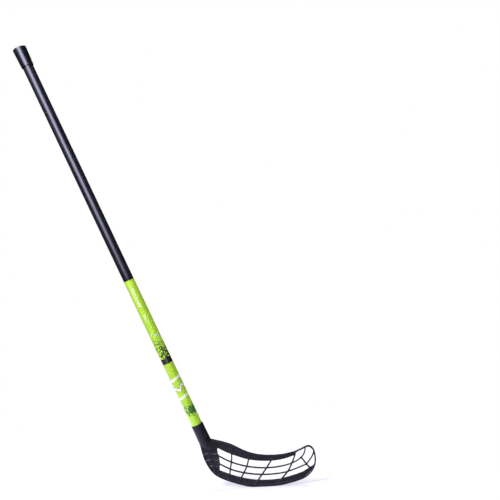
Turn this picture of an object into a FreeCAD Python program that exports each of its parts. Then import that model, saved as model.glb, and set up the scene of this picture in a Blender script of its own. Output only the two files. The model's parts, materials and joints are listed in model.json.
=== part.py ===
import FreeCAD, Part
import math
import os

from FreeCAD import Vector

# A floorball stick. A hollow shaft carries a smooth black sleeve, a printed film and an end cap.
# A moulded blade with an open lattice is pushed over the shaft's foot and held by two screws.
# The flat of the blade's sole lies on Z = 0, and the origin is on it, midway through the blade's thickness.
# The toe points along +X, the shaft leans back towards -X, and the toe hooks towards +Y.
# Every piece is drawn with the shaft's axis in the plane Y = 0, and then moved so that the sole meets the
# origin. Lengths are in millimetres.

os.makedirs("parts", exist_ok=True)

# Shaft: places along it are distances up its axis from where that axis meets the floor
lean_angle = 24.8
axis_foot_x = -78.1
hosel_rim_at = 159.0
socket_depth = 42.0
tube_length = 950.0
tube_diameter = 22.5
tube_wall = 1.8
film_length = 397.0
film_thickness = 0.5
grip_thickness = 0.5

# End cap: a cone that is widest at its closed end, with a hollow spigot that goes into the tube
cap_length = 43.0
cap_end_wall = 4.0
cap_top_wall = 3.05
cap_foot_wall = 1.55
cap_edge_radius = 1.4
cap_clearance = 0.3
spigot_length = 14.0
spigot_wall = 2.0

# Hosel: the tapered socket of the blade, with a flat pad on its back for the screws
hosel_rim_wall = 1.6
hosel_foot_wall = 2.15
hosel_floor = 4.8
hosel_edge_radius = 1.2
outline_in_hosel = 0.4
socket_clearance = 0.1
pad_width = 11.6
pad_height = 3.6
pad_edge_radius = 1.0

# Screws and the plug that they bite into
screw_below_rim = 12.0
screw_spacing = 16.0
screw_length = 14.0
screw_diameter = 3.5
screw_tip_length = 3.0
screw_hole_clearance = 0.1
screw_head_diameter = 7.0
screw_head_height = 2.2
screw_head_edge_radius = 0.9
screw_head_sunk = 1.8
screw_head_clearance = 0.25
recess_span = 4.0
recess_width = 0.9
recess_depth = 1.2
plug_length = 46.0
plug_clearance = 0.1

# Blade: thicknesses of its web, lattice ribs, heel ridges, rim and sole lip, and widths seen from the side
web_thickness = 3.2
rib_thickness = 4.4
ridge_thickness = 5.4
rim_thickness = 6.0
lip_thickness = 7.6
long_rib_width = 2.8
cross_rib_width = 3.2
ridge_width = 2.2
rim_width = 3.6
sole_toe_x = 26.0
sole_heel_x = -14.0

# Hook: the blade is flat up to this place and then follows one arc towards +Y, drawn a little past the toe
hook_start_x = -95.0
hook_radius = 850.0
hook_past_toe = 30.0

# Neck: the swelling that runs from the hosel into the top band, with its thickness at both ends
neck_end_x = -88.0
neck_hosel_thickness = 25.0
neck_middle_x = -104.0
neck_middle_thickness = 11.0

# Blade outline from the sole round the toe and along the top, and from the sole up the heel, as (X, Z)
toe_and_top_points = [
    (64.7, 4.4), (88.5, 9.9), (100.5, 14.2), (116.2, 27.2), (124.2, 45.0), (123.6, 66.0), (117.6, 81.4),
    (107.5, 88.0), (96.5, 85.7), (77.4, 77.8), (60.0, 73.8), (42.0, 71.6), (19.3, 71.2), (-3.3, 73.4),
    (-26.0, 78.7), (-46.0, 87.2), (-64.0, 96.6), (-80.0, 102.6), (-96.0, 106.4),
]
heel_points = [(-38.0, 3.3), (-59.7, 9.5), (-82.7, 17.5), (-106.6, 30.6), (-120.8, 48.6), (-130.1, 68.3)]

# Edges of the solid bands that border the lattice, as (X, Z)
top_band_points = [(-104.0, 93.0), (-84.0, 82.4), (-57.2, 71.6), (-32.6, 63.6), (-4.0, 59.0), (28.0, 58.2),
                   (52.0, 61.2), (78.0, 68.6)]
bottom_band_points = [(-104.0, 43.4), (-82.0, 34.3), (-46.1, 22.6), (-14.0, 16.3), (19.3, 14.7), (44.3, 16.3),
                      (64.9, 20.4), (87.9, 26.3), (108.7, 34.0), (126.0, 42.0)]
heel_band_points = [(-99.0, 99.0), (-98.6, 82.0), (-94.6, 66.0), (-93.2, 52.0), (-93.6, 42.0), (-92.0, 28.0)]
lip_points = [(-124.0, 52.0), (-110.0, 39.0), (-91.0, 26.4), (-48.3, 12.4), (-16.0, 6.4), (16.0, 5.4),
              (51.0, 8.4), (78.4, 13.6), (100.0, 16.4), (122.0, 24.0)]
top_band_end_points = [(92.0, 116.0), (78.0, 76.4), (69.7, 51.2)]
neck_points = [(-130.0, 112.0), (-121.0, 99.0), (-114.0, 89.0), (-107.0, 85.0), (-99.4, 88.4), (-92.0, 97.0),
               (-84.0, 106.0)]

# Lattice ribs, heel to toe and top to bottom, as (X, Z) along the middle of each
long_ribs = [
    [(-101.0, 74.6), (-81.9, 63.9), (-33.7, 47.3), (10.2, 42.3), (41.9, 43.9), (64.7, 48.6), (87.2, 59.0),
     (95.4, 67.6), (98.6, 76.0), (99.2, 85.0)],
    [(-100.0, 56.8), (-69.8, 41.4), (-39.3, 32.6), (1.2, 27.4), (23.8, 27.2), (51.0, 29.5), (83.1, 38.2),
     (103.2, 45.0)],
    [(102.6, 44.4), (108.5, 52.3), (114.3, 60.0), (118.4, 69.0), (121.2, 77.6)],
]
cross_ribs = [
    [(-65.6, 95.6), (-66.9, 74.0), (-67.6, 57.6), (-70.0, 41.2), (-71.2, 30.2), (-73.4, 16.0)],
    [(-25.2, 76.4), (-29.2, 62.5), (-33.0, 47.3), (-39.8, 32.4), (-44.7, 22.9), (-51.6, 8.6)],
    [(29.4, 69.6), (21.0, 57.2), (11.3, 42.0), (1.2, 27.4), (-6.3, 16.4), (-15.6, 3.0)],
    [(78.0, 76.4), (75.4, 67.0), (69.7, 51.2), (60.2, 32.3), (47.9, 17.7), (35.0, 3.0)],
    [(90.4, 61.6), (96.6, 53.0), (102.7, 44.7), (110.6, 36.2), (117.4, 30.6)],
]

# Heel ridges: a spine from the hosel down to the sole, and short ribs from it to the rim and to the lattice
heel_ridges = [
    [(-123.6, 97.0), (-117.6, 74.4), (-110.9, 58.5), (-103.6, 42.5), (-92.0, 28.0)],
    [(-131.4, 74.6), (-124.4, 75.8), (-118.8, 79.0)],
    [(-125.4, 60.4), (-118.8, 61.4), (-113.0, 63.6)],
    [(-118.2, 47.0), (-111.4, 48.0), (-106.6, 49.6)],
    [(-118.6, 78.0), (-109.0, 75.4), (-99.0, 76.6)],
    [(-113.4, 64.4), (-104.4, 61.2), (-95.8, 61.4)],
    [(-107.0, 50.0), (-100.4, 47.4), (-95.0, 47.4)],
]

# Sizes that follow from those above
film_diameter = tube_diameter + 2 * film_thickness
grip_diameter = tube_diameter + 2 * grip_thickness
tube_bore = tube_diameter - 2 * tube_wall
cap_bore = grip_diameter + 2 * cap_clearance
socket_diameter = film_diameter + 2 * socket_clearance
hosel_rim_diameter = socket_diameter + 2 * hosel_rim_wall
hosel_foot_diameter = socket_diameter + 2 * hosel_foot_wall
tube_foot_at = hosel_rim_at - socket_depth
tube_top_at = tube_foot_at + tube_length
film_top_at = tube_foot_at + film_length
cap_top_at = tube_top_at + cap_end_wall
cap_foot_at = cap_top_at - cap_length
hosel_foot_at = tube_foot_at - hosel_floor
screw_places = [hosel_rim_at - screw_below_rim, hosel_rim_at - screw_below_rim - screw_spacing]
pad_face = socket_diameter / 2 + pad_height
screw_seat = pad_face - screw_head_sunk
blade_reach = 2 * hosel_rim_at
blade_depth = 2 * hosel_foot_diameter
toe_x = max(x for x, z in toe_and_top_points)
sole_middle_y = hook_radius - math.sqrt(hook_radius ** 2 - hook_start_x ** 2)

lean = math.radians(lean_angle)
shaft_way = Vector(-math.sin(lean), 0, math.cos(lean))
toe_way = Vector(math.cos(lean), 0, math.sin(lean))
back_way = Vector(0, 1, 0)

# Points closer than this are one point, and a curve beside another takes this many points per span
same_place = 1e-6
steps_per_span = 2


def on_shaft(along, across=0.0):
    """A point at a distance along the shaft's axis, and across it towards the toe."""
    return Vector(axis_foot_x, 0, 0) + shaft_way * along + toe_way * across


def turned(profile):
    """A solid turned about the shaft's axis, from (radius, distance along the axis) pairs."""
    points = [on_shaft(along, radius) for radius, along in profile]
    face = Part.Face(Part.makePolygon(points + points[:1]))
    return face.revolve(on_shaft(0), shaft_way, 360)


def ring_edges(shape, along):
    """The round edges of a turned solid that lie at one distance along the shaft."""
    found = []
    for edge in shape.Edges:
        places = [(vertex.Point - on_shaft(0)).dot(shaft_way) for vertex in edge.Vertexes]
        if edge.isClosed() and all(abs(place - along) < same_place for place in places):
            found.append(edge)
    return found


def widest(edges):
    """The longest of some round edges."""
    return max(edges, key=lambda edge: edge.Length)


def side_point(x, z):
    return Vector(x, 0, z)


def spline(points, first_way=None, last_way=None):
    """A smooth curve through points in the side view, with set directions at its ends if they are given."""
    curve = Part.BSplineCurve()
    if first_way is None:
        curve.interpolate(Points=points)
    else:
        curve.interpolate(Points=points, InitialTangent=first_way, FinalTangent=last_way)
    return curve


def shifted(curve, distance, steps):
    """A curve beside another in the side view, at a distance to the right of its direction of travel."""
    points = []
    for step in range(steps + 1):
        place = curve.FirstParameter + (curve.LastParameter - curve.FirstParameter) * step / steps
        way = curve.tangent(place)[0]
        points.append(curve.value(place) + Vector(way.z, 0, -way.x) * distance)
    return spline(points)


def face_of(curves):
    """The flat face inside curves that follow each other, closed by straight lines where they don't meet."""
    edges = []
    count = len(curves)
    for index, curve in enumerate(curves):
        edges.append(curve.toShape())
        start = curve.value(curve.LastParameter)
        end = curves[(index + 1) % count].value(curves[(index + 1) % count].FirstParameter)
        if start.distanceToPoint(end) > same_place:
            edges.append(Part.makeLine(start, end))
    return Part.Face(Part.Wire(Part.__sortEdges__(edges)))


def strip(points, width):
    """The face of one rib: a band of even width along a curve through points."""
    middle = spline([side_point(x, z) for x, z in points])
    steps = steps_per_span * (len(points) - 1)
    right = shifted(middle, width / 2, steps)
    left = shifted(middle, -width / 2, steps)
    left.reverse()
    return face_of([right, left])


def beyond(points, way):
    """The region on one side of a curve, as far as the blade reaches."""
    curve = spline([side_point(x, z) for x, z in points])
    first = curve.value(curve.FirstParameter) + way * blade_reach
    last = curve.value(curve.LastParameter) + way * blade_reach
    return face_of([curve, Part.LineSegment(last, first)])


def joined(shapes):
    """One solid made of several that overlap."""
    whole = shapes[0]
    for shape in shapes[1:]:
        whole = whole.fuse(shape)
    return whole.removeSplitter()


def hook_slab(thickness):
    """The space between the blade's two faces: flat at the heel, then bent along the hook's arc."""
    half = thickness / 2
    heel_x = hook_start_x - blade_reach
    turn = math.asin((toe_x + hook_past_toe - hook_start_x) / hook_radius)
    centre = Vector(hook_start_x, hook_radius, 0)

    def on_arc(radius, angle):
        return centre + Vector(math.sin(angle), -math.cos(angle), 0) * radius

    edges = []
    for radius in (hook_radius - half, hook_radius + half):
        heel_end = Vector(heel_x, hook_radius - radius, 0)
        edges.append(Part.makeLine(heel_end, on_arc(radius, 0)))
        edges.append(Part.Arc(on_arc(radius, 0), on_arc(radius, turn / 2), on_arc(radius, turn)).toShape())
    edges.append(Part.makeLine(Vector(heel_x, half, 0), Vector(heel_x, -half, 0)))
    edges.append(Part.makeLine(on_arc(hook_radius - half, turn), on_arc(hook_radius + half, turn)))
    face = Part.Face(Part.Wire(Part.__sortEdges__(edges)))
    face.translate(Vector(0, 0, -blade_depth))
    return face.extrude(Vector(0, 0, blade_reach + blade_depth))


def block(face):
    """A side view face drawn out through the whole depth of the blade."""
    moved = face.copy()
    moved.translate(Vector(0, -blade_depth, 0))
    return moved.extrude(Vector(0, 2 * blade_depth, 0))


def blade_outline(inset):
    """The blade's side view, or the same drawn in by an even distance. It ends inside the hosel's floor."""
    sole_toe = side_point(sole_toe_x, 0)
    sole_heel = side_point(sole_heel_x, 0)
    end_across = hosel_foot_diameter / 2 - outline_in_hosel
    top_end = on_shaft(hosel_foot_at + hosel_floor / 2, end_across)
    heel_end = on_shaft(hosel_foot_at + hosel_floor / 2, -end_across)
    top_way = top_end - side_point(*toe_and_top_points[-1])
    heel_way = heel_end - side_point(*heel_points[-1])
    toe_line = [sole_toe] + [side_point(x, z) for x, z in toe_and_top_points] + [top_end]
    heel_line = [sole_heel] + [side_point(x, z) for x, z in heel_points] + [heel_end]
    toe_curve = spline(toe_line, Vector(1, 0, 0), top_way)
    heel_curve = spline(heel_line, Vector(-1, 0, 0), heel_way)
    if inset > 0:
        toe_curve = shifted(toe_curve, -inset, steps_per_span * len(toe_line))
        heel_curve = shifted(heel_curve, inset, steps_per_span * len(heel_line))
    heel_curve.reverse()
    return face_of([toe_curve, heel_curve])


def make_neck(outline):
    """The swelling from the hosel into the top band, thinner towards the toe."""
    side = outline.common(block(beyond(neck_points, Vector(0, 0, 1))))
    hosel_x = on_shaft(hosel_foot_at).x
    half_depths = [(hosel_x, neck_hosel_thickness / 2), (neck_middle_x, neck_middle_thickness / 2),
                   (neck_end_x, web_thickness / 2)]
    front = spline([Vector(x, -half, 0) for x, half in half_depths])
    back = spline([Vector(x, half, 0) for x, half in reversed(half_depths)])
    plan = face_of([front, back])
    return side.common(plan.extrude(Vector(0, 0, blade_reach)))


def make_hosel():
    """The tapered tube round the shaft's foot, with its flat pad for the screws, before it is bored."""
    rim_radius = hosel_rim_diameter / 2
    foot_radius = hosel_foot_diameter / 2
    cone = turned([(0, hosel_foot_at), (foot_radius, hosel_foot_at), (rim_radius, hosel_rim_at),
                   (0, hosel_rim_at)])
    cone = cone.makeFillet(hosel_edge_radius, ring_edges(cone, hosel_foot_at))
    half = pad_width / 2
    ends = [(screw_places[0], 1), (screw_places[1], -1)]
    arcs = []
    for place, side in ends:
        arcs.append(Part.Arc(on_shaft(place, half * side), on_shaft(place + half * side),
                             on_shaft(place, -half * side)))
    pad = face_of(arcs).extrude(back_way * pad_face)
    face_edges = []
    for edge in pad.Edges:
        if all(abs(vertex.Point.y - pad_face) < same_place for vertex in edge.Vertexes):
            face_edges.append(edge)
    pad = pad.makeFillet(pad_edge_radius, face_edges)
    return joined([cone, pad])


def screw_hole(place, diameter):
    """A round hole for one screw, from just past its tip out through the back."""
    start = on_shaft(place) + back_way * (screw_seat - screw_length - screw_hole_clearance)
    return Part.makeCylinder(diameter / 2, 2 * screw_length, start, back_way)


def make_blade():
    """The whole moulding: lattice, bands, heel, rim, sole lip, neck and hosel."""
    up = Vector(0, 0, 1)
    to_heel = Vector(-1, 0, 0)
    outline = block(blade_outline(0))
    top_band = block(beyond(top_band_points, up)).common(block(beyond(top_band_end_points, to_heel)))
    bottom_band = block(beyond(bottom_band_points, -up))
    heel_web = block(beyond(heel_band_points, to_heel))
    lip = block(beyond(lip_points, -up))
    ribs = [block(strip(points, long_rib_width)) for points in long_ribs]
    ribs += [block(strip(points, cross_rib_width)) for points in cross_ribs]
    ridges = [block(strip(points, ridge_width)) for points in heel_ridges]
    layers = [
        (joined([top_band, bottom_band, heel_web]), web_thickness),
        (joined(ribs), rib_thickness),
        (joined(ridges).common(heel_web), ridge_thickness),
        (outline.cut(block(blade_outline(rim_width))), rim_thickness),
        (lip, lip_thickness),
    ]
    plates = [outline.common(layer).common(hook_slab(thickness)) for layer, thickness in layers]
    blade = joined(plates + [make_neck(outline), make_hosel()])
    socket = Part.makeCylinder(socket_diameter / 2, socket_depth, on_shaft(tube_foot_at), shaft_way)
    blade = bored_for_screws(blade.cut(socket))
    seat_radius = screw_head_diameter / 2 + screw_head_clearance
    for place in screw_places:
        seat = on_shaft(place) + back_way * screw_seat
        blade = blade.cut(Part.makeCylinder(seat_radius, pad_face, seat, back_way))
    return blade


def bored_for_screws(shape):
    """A piece with the holes of both screws in it."""
    for place in screw_places:
        shape = shape.cut(screw_hole(place, screw_diameter + 2 * screw_hole_clearance))
    return shape


def make_shaft_tube():
    outer = tube_diameter / 2
    inner = tube_bore / 2
    tube = turned([(inner, tube_foot_at), (outer, tube_foot_at), (outer, tube_top_at), (inner, tube_top_at)])
    return bored_for_screws(tube)


def make_print_sleeve():
    """The printed film, from the foot of the shaft up to the black sleeve."""
    outer = film_diameter / 2
    inner = tube_diameter / 2
    film = turned([(inner, tube_foot_at), (outer, tube_foot_at), (outer, film_top_at), (inner, film_top_at)])
    return bored_for_screws(film)


def make_grip_sleeve():
    """The black sleeve, from the film up to the end of the tube under the cap."""
    outer = grip_diameter / 2
    inner = tube_diameter / 2
    return turned([(inner, film_top_at), (outer, film_top_at), (outer, tube_top_at), (inner, tube_top_at)])


def make_end_cap():
    """The cap: a thick cone over the sleeve, seated on the tube's end, with a spigot in the tube's bore."""
    bore = cap_bore / 2
    foot = bore + cap_foot_wall
    top = bore + cap_top_wall
    spigot = tube_bore / 2 - cap_clearance
    hollow = spigot - spigot_wall
    spigot_foot_at = tube_top_at - spigot_length
    outside = [(bore, cap_foot_at), (foot, cap_foot_at), (top, cap_top_at), (0, cap_top_at)]
    inside = [(0, tube_top_at), (hollow, tube_top_at), (hollow, spigot_foot_at), (spigot, spigot_foot_at),
              (spigot, tube_top_at), (bore, tube_top_at)]
    cap = turned(outside + inside)
    return cap.makeFillet(cap_edge_radius, [widest(ring_edges(cap, cap_top_at))])


def make_shaft_plug():
    radius = tube_bore / 2 - plug_clearance
    plug_top_at = tube_foot_at + plug_length
    plug = turned([(0, tube_foot_at), (radius, tube_foot_at), (radius, plug_top_at), (0, plug_top_at)])
    return bored_for_screws(plug)


def make_screw(place):
    """A pan head screw with a cross recess, its point towards the shaft's axis."""
    seat = on_shaft(place) + back_way * screw_seat
    shank = screw_diameter / 2
    straight = screw_length - screw_tip_length
    head = Part.makeCylinder(screw_head_diameter / 2, screw_head_height, seat, back_way)
    round_edges = [edge for edge in head.Edges if edge.isClosed()]
    top_edge = max(round_edges, key=lambda edge: edge.Vertexes[0].Point.y)
    head = head.makeFillet(screw_head_edge_radius, [top_edge])
    body = Part.makeCylinder(shank, straight, seat, -back_way)
    tip = Part.makeCone(shank, 0, screw_tip_length, seat - back_way * straight, -back_way)
    screw = joined([head, body, tip])
    for way in (shaft_way, toe_way):
        across = shaft_way if way is toe_way else toe_way
        corner = seat + back_way * (screw_head_height - recess_depth) - way * (recess_span / 2)
        corner = corner - across * (recess_width / 2)
        face = Part.Face(Part.makePolygon([
            corner, corner + way * recess_span, corner + way * recess_span + across * recess_width,
            corner + across * recess_width, corner]))
        screw = screw.cut(face.extrude(back_way * screw_head_height))
    return screw


def main():
    pieces = {
        "blade": make_blade(),
        "shaft_tube": make_shaft_tube(),
        "print_sleeve": make_print_sleeve(),
        "grip_sleeve": make_grip_sleeve(),
        "end_cap": make_end_cap(),
        "shaft_plug": make_shaft_plug(),
        "upper_blade_screw": make_screw(screw_places[0]),
        "lower_blade_screw": make_screw(screw_places[1]),
    }
    for name, shape in pieces.items():
        shape.translate(-back_way * sole_middle_y)
        solids = shape.Solids
        state = "valid" if shape.isValid() else "not valid"
        print(name, len(solids), "solid", round(shape.Volume), "mm3", state)
        Part.makeCompound(solids).exportStep("parts/" + name + ".step")


main()
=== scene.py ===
# %% [markdown]
# # A floorball stick
# A floorball stick is a light hollow shaft with a plastic blade pushed over its foot. A smooth black
# sleeve covers the upper half of the shaft, a printed film covers the lower half, and a soft cap closes
# the top end. The CAD model holds the sizes and the pieces that move, and this lesson makes the surfaces
# that the eye sees. The frame comes first and is never moved, so each piece is drawn where it belongs.

# %% Load the frame
import json
import math

import bmesh
import bpy
import numpy as np
from mathutils import Matrix, Vector


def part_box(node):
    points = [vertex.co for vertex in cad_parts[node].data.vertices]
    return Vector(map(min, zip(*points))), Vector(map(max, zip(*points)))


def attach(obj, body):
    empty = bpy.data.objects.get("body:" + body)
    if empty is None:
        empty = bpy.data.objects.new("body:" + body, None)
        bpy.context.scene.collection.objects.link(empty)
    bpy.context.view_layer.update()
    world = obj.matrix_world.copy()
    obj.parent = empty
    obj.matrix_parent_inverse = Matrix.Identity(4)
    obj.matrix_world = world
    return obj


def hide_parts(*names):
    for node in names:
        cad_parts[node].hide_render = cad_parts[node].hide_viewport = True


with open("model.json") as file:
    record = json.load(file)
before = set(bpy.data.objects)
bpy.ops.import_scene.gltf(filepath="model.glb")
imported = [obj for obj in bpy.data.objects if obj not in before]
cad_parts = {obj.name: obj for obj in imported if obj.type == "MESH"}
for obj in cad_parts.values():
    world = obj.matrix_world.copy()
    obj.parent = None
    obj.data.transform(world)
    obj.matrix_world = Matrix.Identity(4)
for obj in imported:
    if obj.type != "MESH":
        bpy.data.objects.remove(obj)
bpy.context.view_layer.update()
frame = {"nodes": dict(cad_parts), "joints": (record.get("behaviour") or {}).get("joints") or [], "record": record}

MM = 0.001

# %% [markdown]
# ## The shaft's own directions
# Most of the stick is turned about one line, the axis of the shaft. The record gives a point and a
# direction of that line, so nothing has to be measured again. The helper below says how far a CAD piece
# reaches along the line and how wide it is, and every turned piece takes its ends from there.

# %% Find the shaft's axis
joints = {joint["name"]: joint for joint in frame["joints"]}
mounts = {mount["name"]: mount for mount in frame["record"]["mounts"]}
shaft_way = Vector(joints["cap_pull"]["axis"]).normalized()
grip_middle = Vector(mounts["hand_grip"]["pos_m"])
shaft_foot = grip_middle - shaft_way * (grip_middle.z / shaft_way.z)
toe_way = Vector((shaft_way.z, 0, -shaft_way.x))
lean = math.atan2(-shaft_way.x, shaft_way.z)


def reach(node):
    """Where a CAD piece starts and ends along the shaft, and its least and greatest radius."""
    along = []
    out = []
    for vertex in frame["nodes"][node].data.vertices:
        offset = vertex.co - shaft_foot
        along.append(offset.dot(shaft_way))
        out.append((offset - shaft_way * along[-1]).length)
    return min(along), max(along), min(out), max(out)


tube_low, tube_high, tube_bore, tube_radius = reach("shaft_tube")
film_low, film_high, film_inner, film_radius = reach("print_sleeve")
grip_low, grip_high, grip_inner, grip_radius = reach("grip_sleeve")
cap_low, cap_high, _, cap_radius = reach("end_cap")
print("lean", round(math.degrees(lean), 2), "film from", round(film_low, 4), "to", round(film_high, 4))

# %% [markdown]
# ## Nodes and colours
# Both the shapes and the finishes are node trees, so one small function adds a node, sets it and links
# it at both ends. Colours are easiest to read as the hex codes that a screen uses, but the renderer works
# with linear light, so a second function turns one into the other.

# %% Add a node, and read a colour
MATH = "ShaderNodeMath"
VECTOR_MATH = "ShaderNodeVectorMath"


def add(tree, kind, sockets=None, stops=None, to=None, **settings):
    """Adds a node. Sockets hold values, or nodes and sockets to link from. Stops fill a ramp, to is fed."""
    node = tree.nodes.new(kind)
    for name, value in settings.items():
        setattr(node, name, value)
    if stops:
        ramp = node.color_ramp.elements
        ramp.remove(ramp[-1])
        ramp[0].position, ramp[0].color = stops[0]
        for place, colour in stops[1:]:
            ramp.new(place).color = colour
    for key, value in (sockets or {}).items():
        if isinstance(value, bpy.types.Node):
            value = value.outputs[0]
        if isinstance(value, bpy.types.NodeSocket):
            tree.links.new(value, node.inputs[key])
        else:
            node.inputs[key].default_value = value
    if to is not None:
        tree.links.new(node.outputs[0], to)
    return node


def linear(code):
    """An sRGB hex colour as linear red, green, blue and alpha."""
    shares = [int(code[start:start + 2], 16) / 255 for start in (1, 3, 5)]
    light = [share / 12.92 if share <= 0.04045 else ((share + 0.055) / 1.055) ** 2.4 for share in shares]
    return (*light, 1.0)


def new_material(name):
    """A material with its tree and its shader."""
    material = bpy.data.materials.new(name)
    material.use_nodes = True
    return material, material.node_tree, material.node_tree.nodes["Principled BSDF"]


def shaft_place(tree):
    """Object coordinates turned to the shaft: across it, through it and along it."""
    coordinates = add(tree, "ShaderNodeTexCoord")
    settings = {"Vector": coordinates.outputs["Object"], "Location": shaft_foot, "Rotation": (0, -lean, 0)}
    return add(tree, "ShaderNodeMapping", settings, vector_type="TEXTURE")


# %% [markdown]
# ## Turning on the lathe
# Sleeve, film, cap and tube are all rings, so a lathe function makes them: it rounds the corners of
# a profile, divides the long runs so that the faces keep a good shape, and carries the profile round the
# axis. A Screw modifier could do it too, but here each ring can close to a single point on the axis.

# %% The lathe
EASE_STEPS = 6
ROUND_SEGMENTS = 128
LONGEST_RUN = 20 * MM
SHARP_ANGLE = math.radians(62)


def eased(corners):
    """The points of a profile whose corners are (radius, distance along the axis, easing radius)."""
    points = []
    for index, (radius, along, ease) in enumerate(corners):
        here = np.array((radius, along))
        if ease == 0:
            points.append(here)
            continue
        before = np.array(corners[index - 1][:2]) - here
        after = np.array(corners[(index + 1) % len(corners)][:2]) - here
        before = before / np.linalg.norm(before)
        after = after / np.linalg.norm(after)
        half = math.acos(np.clip(before.dot(after), -1, 1)) / 2
        centre = here + (before + after) / np.linalg.norm(before + after) * ease / math.sin(half)
        start = here + before * ease / math.tan(half) - centre
        end = here + after * ease / math.tan(half) - centre
        for step in range(EASE_STEPS + 1):
            spoke = start + (end - start) * step / EASE_STEPS
            points.append(centre + spoke / np.linalg.norm(spoke) * ease)
    return points


def divided(points):
    """A closed profile with its long runs cut into shorter ones."""
    fine = []
    for here, there in zip(points, points[1:] + points[:1]):
        parts = max(1, math.ceil(np.linalg.norm(there - here) / LONGEST_RUN))
        fine += [here + (there - here) * part / parts for part in range(parts)]
    return fine


def new_object(name, data):
    """An object at the origin that shows a mesh with smooth faces and crisp corners."""
    data.shade_smooth()
    data.set_sharp_from_angle(angle=SHARP_ANGLE)
    made = bpy.data.objects.new(name, data)
    bpy.context.scene.collection.objects.link(made)
    return made


def turned(name, corners, foot=shaft_foot, way=shaft_way, segments=ROUND_SEGMENTS):
    """A closed piece turned about an axis."""
    side = way.orthogonal().normalized()
    other = way.cross(side)
    spokes = []
    for segment in range(segments):
        angle = 2 * math.pi * segment / segments
        spokes.append(side * math.cos(angle) + other * math.sin(angle))
    mesh = bmesh.new()
    rings = []
    for radius, along in divided(eased(corners)):
        middle = foot + way * along
        if radius == 0:
            rings.append([mesh.verts.new(middle)] * segments)
        else:
            rings.append([mesh.verts.new(middle + spoke * radius) for spoke in spokes])
    for ring, after in zip(rings, rings[1:] + rings[:1]):
        for segment in range(segments):
            loop = dict.fromkeys((ring[segment - 1], ring[segment], after[segment], after[segment - 1]))
            if len(loop) > 2:
                mesh.faces.new(loop)
    bmesh.ops.recalc_face_normals(mesh, faces=mesh.faces)
    data = bpy.data.meshes.new(name)
    mesh.to_mesh(data)
    mesh.free()
    return new_object(name, data)


# %% [markdown]
# ## Making modifiers permanent
# The export wants plain meshes, so what a modifier makes is copied into a new mesh and the modifier is
# taken off. Holes and joined shapes go through the Boolean modifier in the same way, and its cutters
# are thrown away afterwards.

# %% Plain meshes and cutters
SAME_POINT = 0.004 * MM


def made_plain(made):
    """Gives an object the mesh that its modifiers make, with doubled points merged."""
    graph = bpy.context.evaluated_depsgraph_get()
    data = bpy.data.meshes.new_from_object(made.evaluated_get(graph))
    made.modifiers.clear()
    made.data = data
    mesh = bmesh.new()
    mesh.from_mesh(data)
    bmesh.ops.remove_doubles(mesh, verts=mesh.verts, dist=SAME_POINT)
    mesh.to_mesh(data)
    mesh.free()
    data.shade_smooth()
    data.set_sharp_from_angle(angle=SHARP_ANGLE)
    return made


def combined(made, tools, operation):
    """Cuts tools out of an object or joins them to it, and removes the tools."""
    for tool in tools:
        modifier = made.modifiers.new(tool.name, "BOOLEAN")
        modifier.operation = operation
        modifier.solver = "MANIFOLD"
        modifier.object = tool
    made_plain(made)
    for tool in tools:
        bpy.data.objects.remove(tool)
    return made


# %% [markdown]
# ## The screws
# Two short self-tapping screws go through the back of the hosel, the blade's socket, into a plug in the
# shaft. They are steel with a thin bright coat of zinc. The coat is a metal, so it has nearly no colour of
# its own, and a noise makes its shine a little uneven. The noise is coarser than the coat's own grain, so
# that it shows.

# %% Zinc-plated steel
zinc, tree, shader = new_material("zinc_plated_steel")
place = add(tree, "ShaderNodeTexCoord").outputs["Object"]
cloud = add(tree, "ShaderNodeTexNoise", {"Vector": place, "Scale": 1 / (0.8 * MM), "Detail": 3})
add(tree, "ShaderNodeMapRange", {"Value": cloud, "To Min": 0.22, "To Max": 0.38},
    to=shader.inputs["Roughness"])
shader.inputs["Base Color"].default_value = linear("#C9CBCC")
shader.inputs["Metallic"].default_value = 1.0
print("finish:", zinc.name)

# %% [markdown]
# Each screw has a pan head with a cross recess, a core with a point, and a thread. The thread follows a
# path, so Geometry Nodes make it: a spiral curve with a small diamond drawn along it, thinner at both
# ends. Its four sizes are named inputs of the tree. The lathe makes the rest, and a Boolean joins the two.

# %% The thread's node tree
SCREW_LENGTH = 14 * MM
CORE_RADIUS = 1.25 * MM
THREAD_START = 2.4 * MM
THREAD_END = SCREW_LENGTH + 0.3 * MM
STEPS_PER_TURN = 28
RUN_OUT = 0.1
THIN_END = 0.1
SOCKET_KINDS = {
    float: "NodeSocketFloat", bpy.types.Object: "NodeSocketObject", bpy.types.Material: "NodeSocketMaterial"}
thread_values = {
    "Turns": 8.0, "Core radius": CORE_RADIUS, "Length": THREAD_END - THREAD_START, "Depth": 0.5 * MM,
    "Material": zinc}


def new_tree(name, values):
    """A Geometry Nodes tree with a named input for each value."""
    tree = bpy.data.node_groups.new(name, "GeometryNodeTree")
    tree.interface.new_socket("Geometry", in_out="INPUT", socket_type="NodeSocketGeometry")
    for label, value in values.items():
        tree.interface.new_socket(label, in_out="INPUT", socket_type=SOCKET_KINDS[type(value)])
    tree.interface.new_socket("Geometry", in_out="OUTPUT", socket_type="NodeSocketGeometry")
    return tree


def close_tree(tree, geometry):
    """Ends a tree: makes its instances real and sets the material that its input names."""
    whole = add(tree, "GeometryNodeRealizeInstances", {"Geometry": geometry})
    material = add(tree, "NodeGroupInput").outputs["Material"]
    dressed = add(tree, "GeometryNodeSetMaterial", {"Geometry": whole, "Material": material})
    add(tree, "NodeGroupOutput", {"Geometry": dressed})


def shaped(made, tree, values):
    """Runs a node tree on an object with its named inputs set, and keeps the mesh that it makes."""
    modifier = made.modifiers.new(tree.name, "NODES")
    modifier.node_group = tree
    for socket in tree.interface.items_tree:
        if socket.in_out == "INPUT" and socket.name in values:
            modifier[socket.identifier] = values[socket.name]
    return made_plain(made)


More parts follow.
